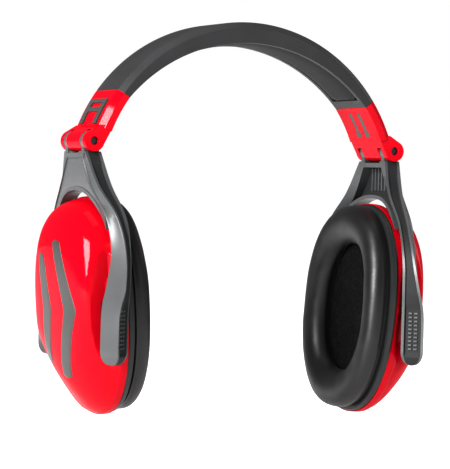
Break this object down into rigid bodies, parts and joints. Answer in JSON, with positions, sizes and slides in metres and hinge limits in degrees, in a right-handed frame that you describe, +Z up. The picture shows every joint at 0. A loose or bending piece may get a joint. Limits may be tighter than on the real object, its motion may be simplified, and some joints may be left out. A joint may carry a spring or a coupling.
{
  "type": "folding earmuff hearing protector",
  "caption": "Over-head earmuff hearing protector with a padded sprung band, folding yokes, height-adjustable tilting cups and soft ring cushions.",
  "frame": {"origin": "midway between the two cups, on the line through the cup pivots, where the wearer's ears are in line", "axes": "+X to the right cup, +Y to the back, +Z up to the crown of the headband"},
  "size_m": [0.2004, 0.108, 0.1977],
  "materials": {
    "band_grey": "moulded dark grey thermoplastic, fine matte texture",
    "pad_grey": "soft moulded elastomer pad, matte",
    "spring_steel": "tempered spring steel strip",
    "cap_red": "glossy moulded red ABS",
    "trim_grey": "satin grey moulded inlay",
    "pin_steel": "blackened steel pin",
    "yoke_grey": "satin grey glass-filled nylon",
    "block_black": "black acetal",
    "shell_red": "high-gloss moulded red ABS",
    "plate_grey": "satin dark grey moulding",
    "foam_black": "open-cell acoustic foam",
    "cushion_black": "soft black polyurethane film",
    "cushion_fill": "soft slow-recovery foam"
  },
  "bodies": {
    "headband": {"headband_shell": "band_grey", "headband_pad": "pad_grey", "spring_strip": "spring_steel", "left_end_cap": "cap_red", "left_cap_bracket": "trim_grey", "left_cap_strips": "trim_grey", "left_hinge_pin": "pin_steel", "right_end_cap": "cap_red", "right_cap_bracket": "trim_grey", "right_cap_strips": "trim_grey", "right_hinge_pin": "pin_steel"},
    "left_arm": {"left_yoke": "yoke_grey"},
    "left_slider": {"left_front_pivot_block": "block_black", "left_rear_pivot_block": "block_black"},
    "left_cup": {"left_cup_shell": "shell_red", "left_chevron_inlays": "trim_grey", "left_backplate": "plate_grey", "left_cup_foam": "foam_black", "left_cover_foam": "foam_black", "left_cushion_carrier": "plate_grey", "left_cushion_skin": "cushion_black", "left_cushion_foam": "cushion_fill"},
    "right_arm": {"right_yoke": "yoke_grey"},
    "right_slider": {"right_front_pivot_block": "block_black", "right_rear_pivot_block": "block_black"},
    "right_cup": {"right_cup_shell": "shell_red", "right_chevron_inlays": "trim_grey", "right_backplate": "plate_grey", "right_cup_foam": "foam_black", "right_cover_foam": "foam_black", "right_cushion_carrier": "plate_grey", "right_cushion_skin": "cushion_black", "right_cushion_foam": "cushion_fill"}
  },
  "joints": [
    {"name": "left_fold", "type": "hinge", "parent": "headband", "child": "left_arm", "pos_m": [-0.08302, 0, 0.082], "axis": [0, 1, 0], "range_deg": [-60, 0]},
    {"name": "left_height", "type": "slide", "parent": "left_arm", "child": "left_slider", "axis": [0, 0, -1], "range_m": [0, 0.016]},
    {"name": "left_tilt", "type": "hinge", "parent": "left_slider", "child": "left_cup", "pos_m": [-0.08252, 0, 0], "axis": [0, 1, 0], "range_deg": [-2.5, 5.5]},
    {"name": "right_fold", "type": "hinge", "parent": "headband", "child": "right_arm", "pos_m": [0.08302, 0, 0.082], "axis": [0, 1, 0], "range_deg": [0, 60]},
    {"name": "right_height", "type": "slide", "parent": "right_arm", "child": "right_slider", "axis": [0, 0, 1], "range_m": [-0.016, 0]},
    {"name": "right_tilt", "type": "hinge", "parent": "right_slider", "child": "right_cup", "pos_m": [0.08252, 0, 0], "axis": [0, 1, 0], "range_deg": [-5.5, 2.5]}
  ]
}
